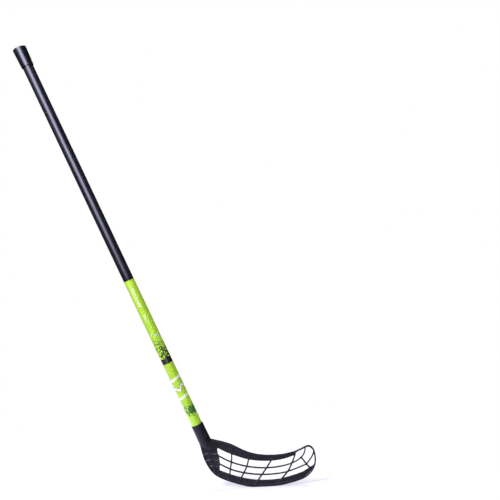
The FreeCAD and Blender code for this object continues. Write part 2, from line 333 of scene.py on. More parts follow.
thread = new_tree("screw_thread", thread_values)
given = add(thread, "NodeGroupInput")
spiral = add(thread, "GeometryNodeCurveSpiral", {
    "Resolution": STEPS_PER_TURN, "Rotations": given.outputs["Turns"], "Height": given.outputs["Length"],
    "Start Radius": given.outputs["Core radius"], "End Radius": given.outputs["Core radius"]})
upright = add(thread, "GeometryNodeSetCurveNormal", {"Curve": spiral}, mode="Z_UP")
factor = add(thread, "GeometryNodeSplineParameter")
from_end = add(thread, MATH, {0: factor.outputs["Factor"], 1: 0.5}, operation="PINGPONG")
fullness = add(thread, "ShaderNodeMapRange", {"Value": from_end, "From Max": RUN_OUT, "To Min": THIN_END})
diamond = add(thread, "GeometryNodeCurvePrimitiveCircle", {"Resolution": 4, "Radius": given.outputs["Depth"]})
crest = add(thread, "GeometryNodeCurveToMesh", {
    "Curve": upright, "Profile Curve": diamond, "Scale": fullness, "Fill Caps": True})
close_tree(thread, crest)
print("thread tree:", len(thread.nodes), "nodes")

# %% [markdown]
# The screws ride on their own bodies, because each can be driven out. The box of each in the CAD model
# gives the place of its axis, its tip and its head.

# %% Make both screws
SCREW_TIP = 3 * MM
HEAD_RADIUS = 3.5 * MM
HEAD_EDGE = 0.9 * MM
SCREW_SEGMENTS = 64
RECESS = (4 * MM, 0.9 * MM, 2.4 * MM)
BACK_WAY = Vector((0, 1, 0))


def on_body(made, material, body, node):
    """Gives a piece its material, ties it to its body and hides the CAD piece it stands for."""
    made.data.materials.clear()
    made.data.materials.append(material)
    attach(made, body)
    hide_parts(node)
    print(made.name, len(made.data.polygons), "faces on", body)


def bar(name, middle, ways, sizes):
    """A straight bar with a middle, three directions and a size in each."""
    mesh = bmesh.new()
    bmesh.ops.create_cube(mesh, size=1)
    turn = Matrix([way * size for way, size in zip(ways, sizes)]).transposed().to_4x4()
    bmesh.ops.transform(mesh, matrix=Matrix.Translation(middle) @ turn, verts=mesh.verts)
    bmesh.ops.recalc_face_normals(mesh, faces=mesh.faces)
    data = bpy.data.meshes.new(name)
    mesh.to_mesh(data)
    mesh.free()
    return new_object(name, data)


screw_tips = {}
for node, body in (("upper_blade_screw", "upper_screw"), ("lower_blade_screw", "lower_screw")):
    low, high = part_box(node)
    tip = Vector(((low[0] + high[0]) / 2, low[1], (low[2] + high[2]) / 2))
    head_top = high[1] - low[1]
    screw_tips[node] = tip
    screw = turned(node.replace("_blade", "_zinc"), [
        (0, 0, 0), (CORE_RADIUS, SCREW_TIP, 0.3 * MM), (CORE_RADIUS, SCREW_LENGTH, 0),
        (HEAD_RADIUS, SCREW_LENGTH, 0.2 * MM), (HEAD_RADIUS, head_top, HEAD_EDGE), (0, head_top, 0),
    ], foot=tip, way=BACK_WAY, segments=SCREW_SEGMENTS)
    spiral_ridge = new_object(node + "_thread", bpy.data.meshes.new(node + "_thread"))
    shaped(spiral_ridge, thread, thread_values)
    outward = Matrix.Rotation(-math.pi / 2, 4, "X")
    spiral_ridge.data.transform(Matrix.Translation(tip + BACK_WAY * THREAD_START) @ outward)
    combined(screw, [spiral_ridge], "UNION")
    recess_middle = tip + BACK_WAY * head_top
    cross = [bar(node + "_slot", recess_middle, ways, RECESS)
             for ways in ((shaft_way, toe_way, BACK_WAY), (toe_way, shaft_way, BACK_WAY))]
    combined(screw, cross, "DIFFERENCE")
    on_body(screw, zinc, body, node)

# %% [markdown]
# ## The tube and its plug
# The shaft is a tube of glass fibre in resin, and a plastic plug in its foot takes the screws. Both hide
# behind the film and the blade, but the tube's end shows when the cap is pulled off. The fibres run along
# the tube, so the noise in its finish is stretched that way, and it is drawn coarser than the fibres, so
# that it shows. Most finishes of the stick are a noise between two close colours, so a helper makes them.

# %% Glass fibre and polyamide
FIBRE_STRETCH = (1, 1, 0.03)


def mottled(tree, shader, place, grain, dark, light, detail=3, low=0.3):
    """Noise of a grain size that moves a shader's colour between two hex codes. Gives the noise."""
    noise = add(tree, "ShaderNodeTexNoise", {"Vector": place, "Scale": 1 / grain, "Detail": detail})
    add(tree, "ShaderNodeValToRGB", {"Fac": noise}, stops=[(low, linear(dark)), (0.7, linear(light))],
        to=shader.inputs["Base Color"])
    return noise


glass, tree, shader = new_material("glass_fibre_in_resin")
streaks = add(tree, "ShaderNodeMapping", {"Vector": shaft_place(tree), "Scale": FIBRE_STRETCH})
mottled(tree, shader, streaks, 0.6 * MM, "#2B2A2C", "#4A494A", detail=4, low=0.35)
shader.inputs["Roughness"].default_value = 0.38

polyamide, tree, shader = new_material("moulded_polyamide")
place = add(tree, "ShaderNodeTexCoord").outputs["Object"]
mottled(tree, shader, place, 1.5 * MM, "#C8C2B2", "#D6D1C4")
shader.inputs["Roughness"].default_value = 0.5
print("finishes:", glass.name, polyamide.name)

# %% Turn the tube and the plug
HOLE_RADIUS = 1.85 * MM
HOLE_SPARE = 0.1 * MM
HOLE_LENGTH = 19 * MM
HOLE_SEGMENTS = 48
TUBE_EASE = 0.2 * MM
PLUG_EASE = 0.8 * MM


def drilled(made):
    """A piece with the holes of both screws in it."""
    holes = []
    for node, tip in screw_tips.items():
        holes.append(turned(node + "_hole", [
            (0, -HOLE_SPARE, 0), (HOLE_RADIUS, -HOLE_SPARE, 0), (HOLE_RADIUS, HOLE_LENGTH, 0),
            (0, HOLE_LENGTH, 0)], foot=tip, way=BACK_WAY, segments=HOLE_SEGMENTS))
    return combined(made, holes, "DIFFERENCE")


tube = drilled(turned("glass_fibre_tube", [
    (tube_bore, tube_low, 0), (tube_radius, tube_low, TUBE_EASE), (tube_radius, tube_high, TUBE_EASE),
    (tube_bore, tube_high, TUBE_EASE)]))
on_body(tube, glass, "stick", "shaft_tube")

plug_low, plug_high, _, plug_radius = reach("shaft_plug")
plug = drilled(turned("screw_plug", [
    (0, plug_low, 0), (plug_radius, plug_low, PLUG_EASE), (plug_radius, plug_high, PLUG_EASE),
    (0, plug_high, 0)]))
on_body(plug, polyamide, "stick", "shaft_plug")

# %% [markdown]
# ## The black sleeve
# The sleeve is a thin smooth tube that shrinks onto the shaft. It is nearly black with a trace of blue,
# and it has a satin shine: a large panel shows in it as a wide stripe with soft edges. Slow lengthwise
# noise in the shine and in the black keeps the stripe from being too perfect.

# %% Satin sleeve
BLACK_SHINE = linear("#DEDEFF")
SLEEVE_EASE = 0.12 * MM
SLEEVE_STRETCH = (1, 1, 0.08)
satin, tree, shader = new_material("satin_shrink_sleeve")
stretched = add(tree, "ShaderNodeMapping", {"Vector": shaft_place(tree), "Scale": SLEEVE_STRETCH})
waves = mottled(tree, shader, stretched, 5 * MM, "#0F0F16", "#15151E")
add(tree, "ShaderNodeMapRange", {"Value": waves, "To Min": 0.32, "To Max": 0.38},
    to=shader.inputs["Roughness"])
shader.inputs["Specular Tint"].default_value = BLACK_SHINE

sleeve = turned("black_sleeve", [
    (grip_inner, grip_low, 0), (grip_radius, grip_low, SLEEVE_EASE), (grip_radius, grip_high, SLEEVE_EASE),
    (grip_inner, grip_high, 0)])
on_body(sleeve, satin, "stick", "grip_sleeve")

# %% [markdown]
# ## The printed film
# The lower half of the shaft wears a lime film with a sporty print: fields of white dashes, a speckle that
# thickens towards a black ring, white stripes with a zigzag between them, and a dark green patch near the
# blade. All of it is plain pattern, so it can be written as rules in the shaft's own coordinates. Distances
# below are in millimetres: down from the film's top edge, and around from the line that faces the front.

# %% Coordinates for the print
film_paint, tree, shader = new_material("printed_film_under_lacquer")
SLANT = 0.27
STEEP = -0.9
place = shaft_place(tree)
across, through, along = add(tree, "ShaderNodeSeparateXYZ", {0: place}).outputs
down = add(tree, MATH, {0: along, 1: -1 / MM, 2: film_high / MM}, operation="MULTIPLY_ADD")
slanted = add(tree, MATH, {0: across, 1: SLANT / MM, 2: down}, operation="MULTIPLY_ADD")
steep = add(tree, MATH, {0: across, 1: STEEP / MM, 2: down}, operation="MULTIPLY_ADD")
forward = add(tree, MATH, {0: through, 1: -1.0}, operation="MULTIPLY")
angle = add(tree, MATH, {0: across, 1: forward}, operation="ARCTAN2")
around = add(tree, MATH, {0: angle, 1: film_radius / MM}, operation="MULTIPLY")
film_mm = (film_high - film_low) / MM
print("film is", round(film_mm, 1), "mm long")

# %% [markdown]
# The speckle and the patch dissolve into small square cells. White noise gives every cell random numbers,
# and a cell is printed where its number is below an amount that changes along the film. A ramp holds the
# amounts: black in its red channel, dark green in the green one and white in the blue one. The print is
# denser on the right, so the amounts are weighted across the shaft.

# %% Cells that dissolve
CELL = 2.3
DENSER_TO_RIGHT = 0.05
AMOUNTS = [
    (0, 0, 0, 0), (126, 0, 0, 0), (128, 0, 0, 0.12), (145, 0, 0, 0.08), (150, 0, 0.08, 0),
    (156, 0.08, 0.2, 0), (170, 0.28, 0.3, 0), (190, 0.6, 0.2, 0), (196, 0, 0, 0), (302, 0, 0, 0),
    (308, 0, 0.2, 0), (314, 0, 0.8, 0), (324, 0, 0.85, 0), (329, 0, 0.3, 0), (334, 0, 0, 0)]
stops = [(distance / film_mm, (*shares, 1)) for distance, *shares in AMOUNTS]
share = add(tree, MATH, {0: down, 1: film_mm}, operation="DIVIDE")
amounts = add(tree, "ShaderNodeValToRGB", {"Fac": share}, stops=stops)
weight = add(tree, MATH, {0: across, 1: DENSER_TO_RIGHT / MM, 2: 1.0}, operation="MULTIPLY_ADD")
weighted = add(tree, VECTOR_MATH, {0: amounts, "Scale": weight}, operation="SCALE")
unrolled = add(tree, "ShaderNodeCombineXYZ", {"X": around, "Y": down})
corner = add(tree, VECTOR_MATH, {0: unrolled, 1: (CELL, CELL, 1)}, operation="SNAP")
chance = add(tree, "ShaderNodeTexWhiteNoise", {"Vector": corner}, noise_dimensions="2D").outputs["Color"]
numbers = add(tree, "ShaderNodeSeparateXYZ", {0: chance}).outputs
limits = add(tree, "ShaderNodeSeparateXYZ", {0: weighted}).outputs
cells = []
for number, limit in zip(numbers, limits):
    cells.append(add(tree, MATH, {0: number, 1: limit}, operation="LESS_THAN"))
black_cells, green_cells, white_cells = cells
print("dissolve ramp has", len(stops), "stops")

# %% [markdown]
# The ring, the stripes and the zigzag come from comparing one coordinate with a place and a half width.
# Dashes and thin lines repeat because only the fraction of a slanted coordinate is compared.

# %% Ring, stripes and zigzag
TEETH = 4
TOOTH_SLOPE = 1.1
tooth_width = math.pi * film_radius / MM / TEETH
tooth = add(tree, MATH, {0: around, 1: tooth_width}, operation="PINGPONG")
wave = add(tree, MATH, {0: tooth, 1: TOOTH_SLOPE, 2: slanted}, operation="MULTIPLY_ADD")
# Each mark has its coordinate, its middle and its half width
MARKS = [(down, 196.5, 6.5), (slanted, 241.5, 2.9), (slanted, 285.5, 2.7), (wave, 269, 4.6), (wave, 269, 3.4)]
masks = []
for coordinate, middle, half_width in MARKS:
    masks.append(add(tree, MATH, {0: coordinate, 1: middle, 2: half_width}, operation="COMPARE"))
ring, upper_stripe, lower_stripe, zigzag_edge, zigzag = masks
print("marks:", len(masks), "and a zigzag with teeth of", round(tooth_width, 1), "mm")

# %% Dashes and thin lines
# Each field has a middle and a half length along the film, a half width, a pitch and its filled share
DASH_FIELDS = [(41.5, 24.5, 3.4, 5.6, 0.36), (92.5, 8.5, 2.4, 4.0, 0.36)]
LINE_FIELDS = [(152, 7, 14, 3.4, 0.3), (303, 8, 14, 3.4, 0.3)]
DASH_MIDDLE = -1.0


def repeated(fields):
    """A mask of slanted marks that repeat in some fields of the film."""
    mask = 0.0
    for middle, half_length, half_width, pitch, filled in fields:
        in_length = add(tree, MATH, {0: steep, 1: middle, 2: half_length}, operation="COMPARE")
        in_width = add(tree, MATH, {0: around, 1: DASH_MIDDLE, 2: half_width}, operation="COMPARE")
        turns = add(tree, MATH, {0: steep, 1: 1 / pitch}, operation="MULTIPLY")
        part = add(tree, MATH, {0: turns}, operation="FRACT")
        mark = add(tree, MATH, {0: part, 1: filled}, operation="LESS_THAN")
        field = add(tree, MATH, {0: in_length, 1: in_width}, operation="MULTIPLY")
        mask = add(tree, MATH, {0: field, 1: mark, 2: mask}, operation="MULTIPLY_ADD")
    return mask


dashes = repeated(DASH_FIELDS)
lines = repeated(LINE_FIELDS)
print("print tree:", len(tree.nodes), "nodes")

# %% [markdown]
# The colours go over each other like the inks of a printer, from the lime ground to the black. The ground
# gets a slow change of tone, and a clear lacquer gives the gloss.

# %% Inks and lacquer
WHITE_INK = "#F0F3EA"
BLACK_INK = "#0A0A0E"
tone = add(tree, "ShaderNodeTexNoise", {"Vector": place, "Scale": 1 / (40 * MM), "Detail": 2})
limes = [(0.3, linear("#AAD63A")), (0.7, linear("#B8E146"))]
ink = add(tree, "ShaderNodeValToRGB", {"Fac": tone}, stops=limes).outputs["Color"]
INKS = [(lines, "#86B93C"), (green_cells, "#3C6A33"), (white_cells, WHITE_INK), (dashes, WHITE_INK),
        (upper_stripe, WHITE_INK), (lower_stripe, WHITE_INK), (zigzag_edge, BLACK_INK), (zigzag, WHITE_INK),
        (black_cells, BLACK_INK), (ring, BLACK_INK)]
for mask, code in INKS:
    ink = add(tree, "ShaderNodeMix", {0: mask, 6: ink, 7: linear(code)}, data_type="RGBA").outputs[2]
tree.links.new(ink, shader.inputs["Base Color"])
shader.inputs["Roughness"].default_value = 0.45
shader.inputs["Coat Weight"].default_value = 0.15
shader.inputs["Coat Roughness"].default_value = 0.25

film = drilled(turned("printed_film", [
    (film_inner, film_low, 0), (film_radius, film_low, SLEEVE_EASE), (film_radius, film_high, SLEEVE_EASE),
    (film_inner, film_high, 0)]))
on_body(film, film_paint, "stick", "print_sleeve")

# %% [markdown]
# ## The end cap
# The cap is moulded rubber: a cone that is thickest at its closed end, so that the hand can't slide off,
# with a hollow spigot that grips the tube from inside. It is one turned profile with rounded edges. The
# sides have a satin shine from a polished mould, and the end face is matt. The grain of the rubber is drawn
# coarser than it is, so that it shows.

# %% Turn the cap
rubber, tree, shader = new_material("moulded_rubber")
MATT_RIM = 1.2 * MM
MATT_EXTRA = 0.5
place = shaft_place(tree)
grain = mottled(tree, shader, place, 0.9 * MM, "#08080C", "#0D0D12")
sheen = add(tree, "ShaderNodeMapRange", {"Value": grain, "To Min": 0.26, "To Max": 0.34})
height = add(tree, "ShaderNodeSeparateXYZ", {0: place}).outputs["Z"]
matt = add(tree, "ShaderNodeMapRange", {
    "Value": height, "From Min": cap_high - MATT_RIM, "From Max": cap_high, "To Max": MATT_EXTRA})
add(tree, MATH, {0: sheen, 1: matt}, operation="ADD", to=shader.inputs["Roughness"])
add(tree, "ShaderNodeBump", {"Height": grain, "Strength": 0.06, "Distance": 0.03 * MM},
    to=shader.inputs["Normal"])
shader.inputs["Specular Tint"].default_value = BLACK_SHINE

CAP_CLEARANCE = 0.3 * MM
CAP_FOOT_WALL = 1.55 * MM
SPIGOT_LENGTH = 14 * MM
SPIGOT_WALL = 2 * MM
cap_bore = grip_radius + CAP_CLEARANCE
spigot = tube_bore - CAP_CLEARANCE
spigot_low = tube_high - SPIGOT_LENGTH
cap = turned("rubber_cap", [
    (cap_bore, cap_low, 0.3 * MM), (cap_bore + CAP_FOOT_WALL, cap_low, 0.5 * MM),
    (cap_radius, cap_high, 1.4 * MM), (0, cap_high, 0), (0, tube_high, 0),
    (spigot - SPIGOT_WALL, tube_high, 0), (spigot - SPIGOT_WALL, spigot_low, 0.3 * MM),
    (spigot, spigot_low, 0.6 * MM), (spigot, tube_high, 0), (cap_bore, tube_high, 0)])
on_body(cap, rubber, "cap", "end_cap")

# %% [markdown]
# ## The blade's drawing
# The blade is one plastic moulding. Seen from the side it is a drawing: an outline, the edges of its solid
# bands, and the middle lines of its ribs. Each line below goes through a few points (X and Z in
# millimetres), and a cubic spline makes it smooth.

# %% Lines of the blade
HOSEL_FLOOR = 4.8
SOCKET_DEPTH = 42.0
HOSEL_LOW = tube_low / MM - HOSEL_FLOOR
HOSEL_HIGH = tube_low / MM + SOCKET_DEPTH
HOSEL_RADII = (14.0, 13.45)
OUTLINE_IN_HOSEL = 0.4
SOLE_TOE = (26.0, 0.0)
SOLE_HEEL = (-14.0, 0.0)
toe_and_top = [
    (64.7, 4.4), (88.5, 9.9), (100.5, 14.2), (116.2, 27.2), (124.2, 45.0), (123.6, 66.0), (117.6, 81.4),
    (107.5, 88.0), (96.5, 85.7), (77.4, 77.8), (60.0, 73.8), (42.0, 71.6), (19.3, 71.2), (-3.3, 73.4),
    (-26.0, 78.7), (-46.0, 87.2), (-64.0, 96.6), (-80.0, 102.6), (-96.0, 106.4)]
heel = [(-38.0, 3.3), (-59.7, 9.5), (-82.7, 17.5), (-106.6, 30.6), (-120.8, 48.6), (-130.1, 68.3)]
top_band_edge = [
    (-104.0, 93.0), (-84.0, 82.4), (-57.2, 71.6), (-32.6, 63.6), (-4.0, 59.0), (28.0, 58.2), (52.0, 61.2),
    (76.0, 68.0)]
bottom_band_edge = [
    (-104.0, 43.4), (-82.0, 34.3), (-46.1, 22.6), (-14.0, 16.3), (19.3, 14.7), (44.3, 16.3), (64.9, 20.4),
    (87.9, 26.3), (108.7, 34.0), (121.6, 39.8)]
heel_band_edge = [(-99.0, 99.0), (-98.6, 82.0), (-94.6, 66.0), (-93.2, 52.0), (-93.6, 42.0), (-92.6, 32.0)]
lip_edge = [
    (-105.0, 34.6), (-91.0, 26.4), (-48.3, 12.4), (-16.0, 6.4), (16.0, 5.4), (51.0, 8.4), (78.4, 13.6),
    (95.0, 16.2)]
long_ribs = [
    [(-101.0, 74.6), (-81.9, 63.9), (-33.7, 47.3), (10.2, 42.3), (41.9, 43.9), (64.7, 48.6), (87.2, 59.0),
     (95.4, 67.6), (98.6, 76.0), (99.2, 84.0)],
    [(-95.2, 54.2), (-69.8, 41.4), (-39.3, 32.6), (1.2, 27.4), (23.8, 27.2), (51.0, 29.5), (83.1, 38.2),
     (103.2, 45.0)],
    [(102.6, 44.4), (108.5, 52.3), (114.3, 60.0), (118.4, 69.0), (119.6, 74.0)]]
cross_ribs = [
    [(-65.6, 94.6), (-66.9, 74.0), (-67.6, 57.6), (-70.0, 41.2), (-71.2, 30.2), (-73.4, 18.0)],
    [(-25.2, 75.4), (-29.2, 62.5), (-33.0, 47.3), (-39.8, 32.4), (-44.7, 22.9), (-50.6, 10.6)],
    [(28.4, 68.2), (21.0, 57.2), (11.3, 42.0), (1.2, 27.4), (-6.3, 16.4), (-14.2, 5.0)],
    [(77.4, 74.6), (75.4, 67.0), (69.7, 51.2), (60.2, 32.3), (47.9, 17.7), (37.0, 5.0)],
    [(90.4, 61.6), (96.6, 53.0), (102.7, 44.7), (110.6, 36.2), (115.6, 31.8)]]
heel_ridges = [
    [(-123.6, 97.0), (-117.6, 74.4), (-110.9, 58.5), (-103.6, 42.5), (-92.0, 26.4)],
    [(-130.0, 74.8), (-124.4, 75.8), (-118.8, 79.0)],
    [(-124.0, 60.6), (-118.8, 61.4), (-113.0, 63.6)],
    [(-117.0, 47.2), (-111.4, 48.0), (-106.6, 49.6)],
    [(-118.6, 78.0), (-109.0, 75.4), (-99.0, 76.6)],
    [(-113.4, 64.4), (-104.4, 61.2), (-95.8, 61.4)],
    [(-107.0, 50.0), (-100.4, 47.4), (-95.0, 47.4)]]
neck_sheet = [
    (-126.1, 103.8), (-110.7, 93.0), (-104.7, 91.5), (-96.7, 94.5), (-90.7, 100.0), (-88.7, 102.5),
    (-96.7, 103.0), (-104.7, 102.0), (-113.7, 99.5)]


def smooth(points, first=None, last=None, step=1.0):
    """Points a step apart on a cubic spline through some points, with set directions at its ends or free."""
    points = np.array(points, float)
    spans = np.linalg.norm(np.diff(points, axis=0), axis=1)
    rows = np.zeros((len(points), len(points)))
    sums = np.zeros((len(points), 2))
    for index in range(1, len(points) - 1):
        before, after = spans[index - 1:index + 1]
        rows[index, index - 1:index + 2] = after, 2 * (before + after), before
        sums[index] = 3 * after / before * (points[index] - points[index - 1])
        sums[index] += 3 * before / after * (points[index + 1] - points[index])
    for index, beside_it, way in ((0, 1, first), (-1, -2, last)):
        rows[index, index] = 2 if way is None else 1
        rows[index, beside_it] = 1 if way is None else 0
        chord = (points[beside_it] - points[index]) * (1 if index == 0 else -1)
        sums[index] = 3 * chord / np.linalg.norm(chord) if way is None else way / np.linalg.norm(way)
    slopes = np.linalg.solve(rows, sums)
    knots = np.concatenate(([0], np.cumsum(spans)))
    places = np.linspace(0, knots[-1], max(2, round(knots[-1] / step)) + 1)
    span = np.clip(np.searchsorted(knots, places, side="right") - 1, 0, len(spans) - 1)
    length = spans[span][:, None]
    share = (places - knots[span])[:, None] / length
    line = (1 + 2 * share) * (1 - share) ** 2 * points[span] + share ** 2 * (3 - 2 * share) * points[span + 1]
    return line + length * share * (1 - share) * ((1 - share) * slopes[span] - share * slopes[span + 1])


def beside(line, distance):
    """A line moved sideways, to the left of its direction if the distance is positive."""
    ways = np.gradient(line, axis=0)
    ways = ways / np.linalg.norm(ways, axis=1)[:, None]
    return line + np.column_stack((-ways[:, 1], ways[:, 0])) * distance


def on_shaft(along, across):
    """A point in the side view at a distance up the shaft's axis and across it, in millimetres."""
    point = shaft_foot / MM + shaft_way * along + toe_way * across
    return np.array((point.x, point.z))


print("ribs:", len(long_ribs), "long and", len(cross_ribs), "across; heel ridges:", len(heel_ridges))

# %% [markdown]
# The rim follows the outline, half its own width inside it. The solid bands and the thick lip along the
# sole are closed shapes between two lines, drawn in by the radius of their rounded edges.

# %% Outline, rim, bands and lip
RIM_WIDTH = 3.6
WEB_EDGE = 0.8
LIP_EDGE = 1.7
LIP_INSET = 0.6
# From where to where along X the outline closes each shape
TOP_SPAN = (-97, 77.6)
BOTTOM_SPAN = (-108, 122)
HEEL_SPAN = (-140, -93)
LIP_SPAN = (-105.6, 94)
hosel_end = HOSEL_LOW + HOSEL_FLOOR / 2
top_end = on_shaft(hosel_end, HOSEL_RADII[0] - OUTLINE_IN_HOSEL)
heel_end = on_shaft(hosel_end, OUTLINE_IN_HOSEL - HOSEL_RADII[0])
toe_line = smooth([SOLE_TOE, *toe_and_top, top_end], (1, 0), top_end - toe_and_top[-1])
heel_line = smooth([SOLE_HEEL, *heel, heel_end], (-1, 0), heel_end - heel[-1])
outline = np.vstack((heel_line[::-1], toe_line))
rim_line = np.vstack((beside(heel_line, -RIM_WIDTH / 2)[::-1], beside(toe_line, RIM_WIDTH / 2)))


def stretch(line, low, high, below):
    """The part of a closed outline between two X places, on its lower or its upper side."""
    turn = len(heel_line) + int(np.argmax(toe_line[:, 0]))
    half = line[:turn] if below else line[turn:]
    return half[(half[:, 0] > low) & (half[:, 0] < high)]


top_edge = beside(smooth(top_band_edge), WEB_EDGE)
bottom_edge = beside(smooth(bottom_band_edge), -WEB_EDGE)
heel_edge = beside(smooth(heel_band_edge), -WEB_EDGE)
sole_edge = beside(smooth(lip_edge), -LIP_EDGE)
lip_in = LIP_EDGE + LIP_INSET
lip_bottom = np.vstack((beside(heel_line, -lip_in)[::-1], beside(toe_line, lip_in)))
web_sheets = [
    np.vstack((top_edge, stretch(rim_line, *TOP_SPAN, False))),
    np.vstack((bottom_edge, stretch(rim_line, *BOTTOM_SPAN, True)[::-1])),
    np.vstack((heel_edge, stretch(rim_line, *HEEL_SPAN, True)[::-1]))]
lip_sheets = [np.vstack((sole_edge, stretch(lip_bottom, *LIP_SPAN, True)[::-1]))]
print("outline:", len(outline), "points from", outline.min(0).round(1), "to", outline.max(0).round(1))

# %% [markdown]
# ## Black polyethylene
# Blades are moulded in tough polyethylene. Black pigment leaves a slightly blue grey where light grazes it,
# the mould gives a fine grain, and the flow of the plastic makes slow changes in the shine. The grain is
# drawn coarser than it is, so that it shows.

# %% Moulded polyethylene
poly, tree, shader = new_material("moulded_polyethylene")
place = add(tree, "ShaderNodeTexCoord").outputs["Object"]
flow = mottled(tree, shader, place, 9 * MM, "#0F0E13", "#17161C")
add(tree, "ShaderNodeMapRange", {"Value": flow, "To Min": 0.36, "To Max": 0.48},
    to=shader.inputs["Roughness"])
grain = add(tree, "ShaderNodeTexNoise", {"Vector": place, "Scale": 1 / (0.8 * MM), "Detail": 3})
add(tree, "ShaderNodeBump", {"Height": grain, "Strength": 0.2, "Distance": 0.05 * MM},
    to=shader.inputs["Normal"])
shader.inputs["Specular Tint"].default_value = BLACK_SHINE
shader.inputs["Specular IOR Level"].default_value = 0.3
print("finish:", poly.name)

# %% [markdown]
# ## From drawing to moulding
# Box modelling such a lattice would need a fillet at each of its many crossings. Geometry Nodes can do it
# as one rule instead. For any point in space, each layer of the drawing gives a distance: how far the point
# lies outside a plate with rounded edges. A smooth minimum of those distances melts the layers together
# with fillets, like plastic in a mould. A volume samples the rule and turns it into a mesh.

# %% Layers of the moulding
VOXEL = 0.5 * MM
PAD_WIDTH = 11.6
PAD_FACE = 15.45
screw_line = [[(tip.x / MM, tip.z / MM) for tip in screw_tips.values()]]
SIZES = ("width", "thickness", "edge", "fillet")
# Each layer has a drawing, the kind of its elements, those four sizes and its middle from front to back
LAYERS = {
    "Web": (web_sheets, "FACES", 2 * WEB_EDGE, 3.2, WEB_EDGE, 0, 0),
    "Long ribs": ([smooth(line) for line in long_ribs], "EDGES", 2.8, 4.4, 0.9, 2.0, 0),
    "Cross ribs": ([smooth(line) for line in cross_ribs], "EDGES", 3.2, 4.4, 0.9, 2.0, 0),
    "Ridges": ([smooth(line) for line in heel_ridges], "EDGES", 2.2, 5.4, 0.9, 1.6, 0),
    "Rim": ([rim_line], "EDGES", RIM_WIDTH, 6.0, 1.5, 2.0, 0),
    "Lip": (lip_sheets, "FACES", 2 * LIP_EDGE, 7.6, LIP_EDGE, 2.0, 0),
    "Pad": (screw_line, "EDGES", PAD_WIDTH, PAD_FACE, 1.0, 1.0, PAD_FACE / 2),
}


def drawn(name, shapes, element):
    """An object that holds lines or flat sheets of the drawing in the plane Y = 0."""
    points = []
    lines = []
    sheets = []
    for shape in shapes:
        numbers = list(range(len(points), len(points) + len(shape)))
        points += [(x * MM, 0, z * MM) for x, z in shape]
        if element == "FACES":
            sheets.append(numbers)
        else:
            lines += list(zip(numbers, numbers[1:]))
    data = bpy.data.meshes.new(name)
    data.from_pydata(points, lines, sheets)
    return new_object(name, data)


values = {"Material": poly}
for layer, (shapes, element, *sizes, _) in LAYERS.items():
    values[layer] = drawn(layer.lower().replace(" ", "_") + "_drawing", shapes, element)
    for label, size in zip(SIZES, sizes):
        values[f"{layer} {label}"] = size * MM
values["Neck"] = drawn("neck_drawing", [neck_sheet], "FACES")
print("drawings:", len(LAYERS) + 1)

# %% [markdown]
# The tree gets one input for each drawing and for each size of its layers, so another lattice needs no other
# tree.

# %% The moulding's node tree
tree = new_tree("blade_moulding", values)
given = add(tree, "NodeGroupInput")
where = add(tree, "GeometryNodeInputPosition")
x, y, z = add(tree, "ShaderNodeSeparateXYZ", {0: where}).outputs
flat = add(tree, "ShaderNodeCombineXYZ", {"X": x, "Z": z})


def beyond(tree, distance, size, edge):
    """How far a distance goes past half a size drawn in by an edge radius, and 0 inside it."""
    drawn_in = add(tree, MATH, {0: size, 1: -0.5, 2: edge}, operation="MULTIPLY_ADD")
    past = add(tree, MATH, {0: distance, 1: drawn_in}, operation="ADD")
    return add(tree, MATH, {0: past, 1: 0.0}, operation="MAXIMUM")


def rounded(tree, first, second, edge):
    """The distance outside a body whose edges are rounded, from how far a point is past two of its faces."""
    both = add(tree, "ShaderNodeCombineXYZ", {"X": first, "Y": second})
    length = add(tree, VECTOR_MATH, {0: both}, operation="LENGTH").outputs["Value"]
    return add(tree, MATH, {0: length, 1: edge}, operation="SUBTRACT")


total = None
for layer, (_, element, *_, middle) in LAYERS.items():
    sheet = add(tree, "GeometryNodeObjectInfo", {"Object": given.outputs[layer]})
    near = add(tree, "GeometryNodeProximity", {
        "Geometry": sheet.outputs["Geometry"], "Sample Position": flat}, target_element=element)
    off_middle = add(tree, MATH, {0: y, 1: middle * MM}, operation="SUBTRACT")
    depth = add(tree, MATH, {0: off_middle}, operation="ABSOLUTE")
    edge_size = given.outputs[layer + " edge"]
    sideways = beyond(tree, near.outputs["Distance"], given.outputs[layer + " width"], edge_size)
    endways = beyond(tree, depth, given.outputs[layer + " thickness"], edge_size)
    outside = rounded(tree, sideways, endways, edge_size)
    if total is not None:
        melt = given.outputs[layer + " fillet"]
        outside = add(tree, MATH, {0: total, 1: outside, 2: melt}, operation="SMOOTH_MIN")
    total = outside
print("layers joined, tree has", len(tree.nodes), "nodes")

# %% [markdown]
# Two parts are not flat plates. The hosel is a cone round the shaft's axis, and the neck swells from it into
# the top band, so its thickness falls off towards the toe.

# %% Hosel and neck
HOSEL_EDGE = 1.1 * MM
HOSEL_FILLET = 1.0 * MM
NECK_FILLET = 5.0 * MM
NECK_ENDS = (-125.1 * MM, -88.7 * MM)
NECK_RADII = (12.5 * MM, 1.6 * MM)
foot_in_drawing = Vector((shaft_foot.x, 0, 0))
from_foot = add(tree, VECTOR_MATH, {0: where, 1: foot_in_drawing}, operation="SUBTRACT")
rise = add(tree, VECTOR_MATH, {0: from_foot, 1: shaft_way}, operation="DOT_PRODUCT")
up_shaft = rise.outputs["Value"]
aside = add(tree, VECTOR_MATH, {0: from_foot, 1: toe_way}, operation="DOT_PRODUCT")
to_toe = aside.outputs["Value"]
spoke = add(tree, "ShaderNodeCombineXYZ", {"X": to_toe, "Y": y})
radius = add(tree, VECTOR_MATH, {0: spoke}, operation="LENGTH").outputs["Value"]
taper = add(tree, "ShaderNodeMapRange", {
    "Value": up_shaft, "From Min": HOSEL_LOW * MM, "From Max": HOSEL_HIGH * MM,
    "To Min": 2 * HOSEL_RADII[0] * MM, "To Max": 2 * HOSEL_RADII[1] * MM})
